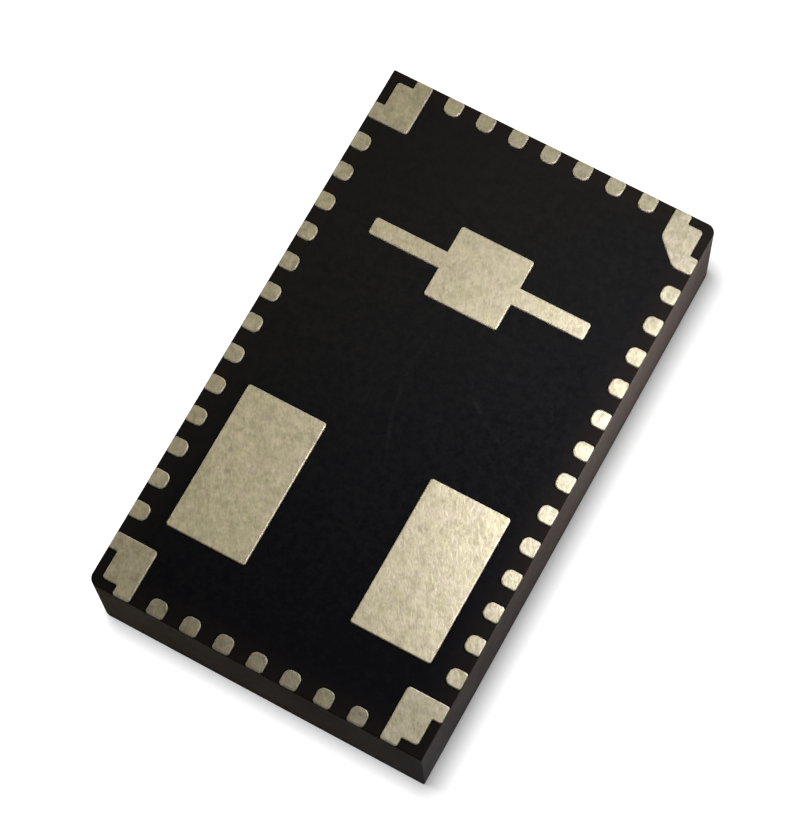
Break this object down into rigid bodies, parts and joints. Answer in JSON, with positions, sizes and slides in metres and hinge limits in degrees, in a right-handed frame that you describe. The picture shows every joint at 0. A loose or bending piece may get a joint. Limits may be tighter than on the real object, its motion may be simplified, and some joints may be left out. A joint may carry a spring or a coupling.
{
  "type": "power module",
  "caption": "Moulded step-down power module with solder lands round its edge and three large lands, holding an inductor, a converter die and chips.",
  "frame": {"origin": "middle of the plain cap face, which is the face the module lies on in the picture", "axes": "+Z points out of the land side, +Y runs along the long side towards the thermal land, and land 1 is in the +X +Y corner; turned over, the lands lie on a board"},
  "size_m": [0.009, 0.015, 0.0028],
  "materials": {
    "mould_compound": "fine-grained black epoxy with sawn sides",
    "plated_land": "matte tin plating with soft rolled rims",
    "powder_core": "pressed metal powder",
    "copper_wire": "enamelled flat copper wire",
    "tinned_clip": "tinned copper strip",
    "die_silicon": "polished silicon",
    "attach_solder": "reflowed solder",
    "gold_wire": "drawn gold wire",
    "capacitor_ceramic": "fired ceramic with tinned ends",
    "resistor_ceramic": "glazed film on ceramic with tinned ends"
  },
  "bodies": {
    "root": {"mould_body": "mould_compound", "ground_paddle": "plated_land", "phase_land": "plated_land", "output_land": "plated_land", "power_ground_land": "plated_land", "input_land": "plated_land", "terminal_01": "plated_land", "terminal_37": "plated_land", "terminal_02": "plated_land", "terminal_03": "plated_land", "terminal_05": "plated_land", "terminal_06": "plated_land", "terminal_07": "plated_land", "terminal_08": "plated_land", "terminal_09": "plated_land", "terminal_32": "plated_land", "terminal_33": "plated_land", "terminal_35": "plated_land", "terminal_36": "plated_land", "terminal_38": "plated_land", "terminal_39": "plated_land", "terminal_40": "plated_land", "terminal_41": "plated_land", "terminal_42": "plated_land", "terminal_43": "plated_land", "terminal_44": "plated_land", "inductor_core": "powder_core", "inductor_winding": "copper_wire", "inductor_phase_clip": "tinned_clip", "inductor_output_clip": "tinned_clip", "converter_die": "die_silicon", "die_attach": "attach_solder", "signal_bond_wires": "gold_wire", "power_bond_wires": "gold_wire", "solder_joints": "attach_solder", "input_capacitor_1": "capacitor_ceramic", "input_capacitor_2": "capacitor_ceramic", "boot_capacitor": "capacitor_ceramic", "soft_start_capacitor": "capacitor_ceramic", "compensation_capacitor": "capacitor_ceramic", "bypass_capacitor": "capacitor_ceramic", "frequency_resistor": "resistor_ceramic", "feedback_resistor": "resistor_ceramic", "compensation_resistor": "resistor_ceramic", "enable_resistor": "resistor_ceramic"}
  },
  "joints": []
}
